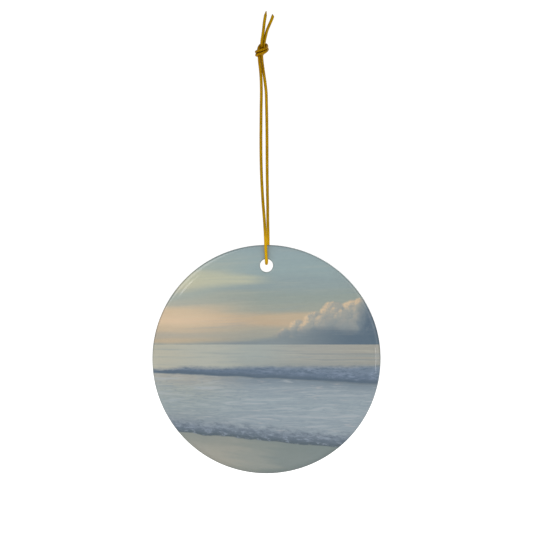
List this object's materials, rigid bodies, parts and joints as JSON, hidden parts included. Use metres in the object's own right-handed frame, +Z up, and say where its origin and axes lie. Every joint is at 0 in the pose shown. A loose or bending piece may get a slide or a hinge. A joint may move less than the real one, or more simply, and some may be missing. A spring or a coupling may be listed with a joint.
{
  "type": "hanging disc ornament",
  "caption": "Flat round glazed ceramic disc with a hole near its top, hung on a doubled gold cord with its ends tied in an overhand knot.",
  "frame": {"origin": "the hang point, between the two strands of the cord just under the knot", "axes": "+Z up along the hanging cord, +Y out of the disc's plain back, so the printed front faces -Y and +X is to the right of someone facing the print"},
  "size_m": [0.07, 0.0051, 0.1414],
  "materials": {
    "printed_glazed_ceramic": "glossy clear glaze over a muted sea and sky print that covers the front",
    "white_glaze": "plain glossy white glaze on the back and the edge",
    "gold_cord": "fine metallic gold yarn, tightly braided"
  },
  "bodies": {
    "hanger": {"cord_knot": "gold_cord", "tail_left": "gold_cord", "tail_right": "gold_cord", "front_strand_upper": "gold_cord", "back_strand_upper": "gold_cord"},
    "loop": {"front_strand_middle": "gold_cord", "back_strand_middle": "gold_cord"},
    "bight": {"front_strand_lower": "gold_cord", "back_strand_lower": "gold_cord", "cord_bight": "gold_cord"},
    "disc": {"ceramic_disc": "printed_glazed_ceramic"}
  },
  "joints": [
    {"name": "cord_twist", "type": "hinge", "parent": "hanger", "child": "loop", "pos_m": [0.0019, 0, -0.019], "axis": [0, 0, 1], "range_deg": [-170, 170]},
    {"name": "disc_rock", "type": "hinge", "parent": "loop", "child": "bight", "pos_m": [0.0019, 0, -0.035], "axis": [1, 0, 0], "range_deg": [-60, 60]},
    {"name": "disc_swing", "type": "hinge", "parent": "bight", "child": "disc", "pos_m": [0.0019, 0, -0.0626], "axis": [0, 1, 0], "range_deg": [-60, 60]}
  ]
}
